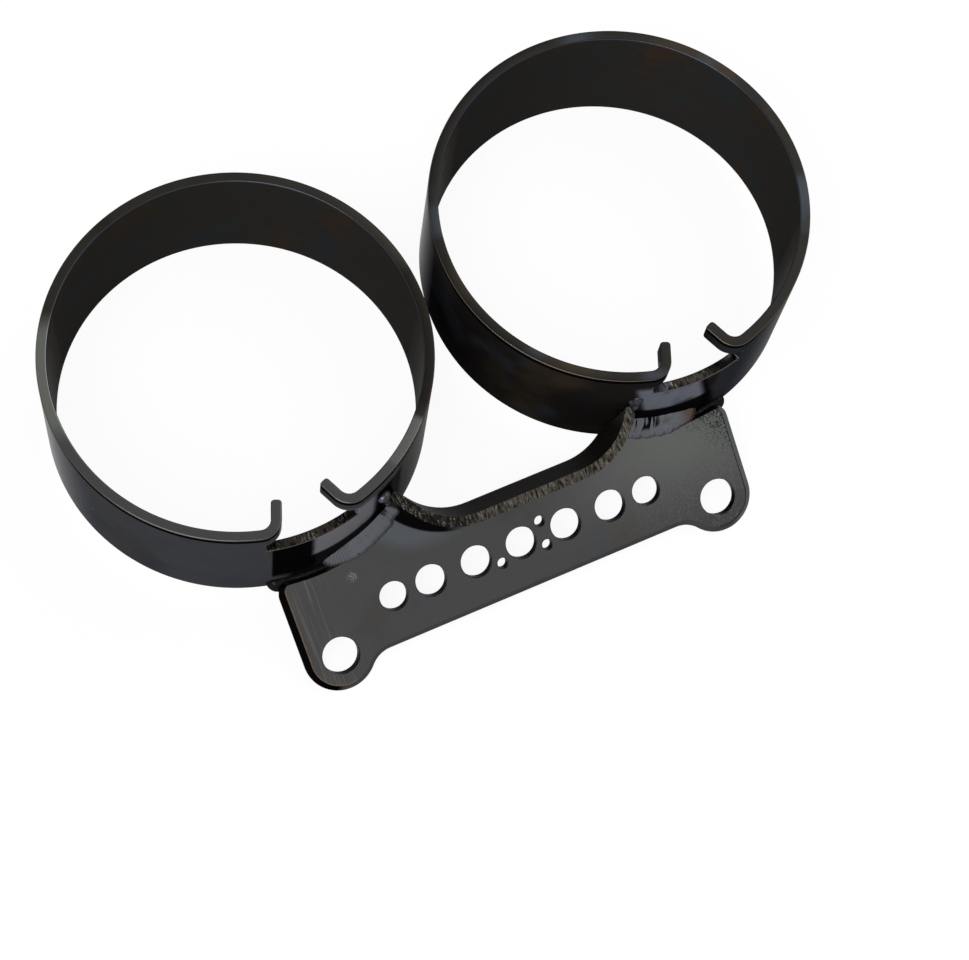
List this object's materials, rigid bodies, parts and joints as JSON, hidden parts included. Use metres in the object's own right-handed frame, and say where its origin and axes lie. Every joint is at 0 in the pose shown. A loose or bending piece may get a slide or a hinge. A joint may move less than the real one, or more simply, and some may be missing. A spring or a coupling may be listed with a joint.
{
  "type": "gauge bracket",
  "caption": "Twin-ring motorcycle gauge bracket: round instrument rings with slotted rims welded to a sloping drilled plate with a pressed lip and bolt ears.",
  "frame": {"origin": "midway between the two bolt holes, on the plate's back face", "axes": "+Z along the gauge rings' axes towards the slotted rims, +X to the right along the row of holes, +Y from the bolt holes towards the rings"},
  "size_m": [0.1674, 0.104, 0.0427],
  "materials": {
    "plated_sheet": "dark nickel plating on sheet steel, semi-gloss",
    "plated_ring": "dark nickel plating on rolled steel, glossy",
    "plated_weld": "dark nickel plating over rippled weld beads"
  },
  "bodies": {
    "root": {"mounting_plate": "plated_sheet", "left_gauge_ring": "plated_ring", "right_gauge_ring": "plated_ring", "left_front_weld": "plated_weld", "left_lip_weld": "plated_weld", "left_rear_weld": "plated_weld", "right_front_weld": "plated_weld", "right_lip_weld": "plated_weld", "right_rear_weld": "plated_weld"}
  },
  "joints": []
}
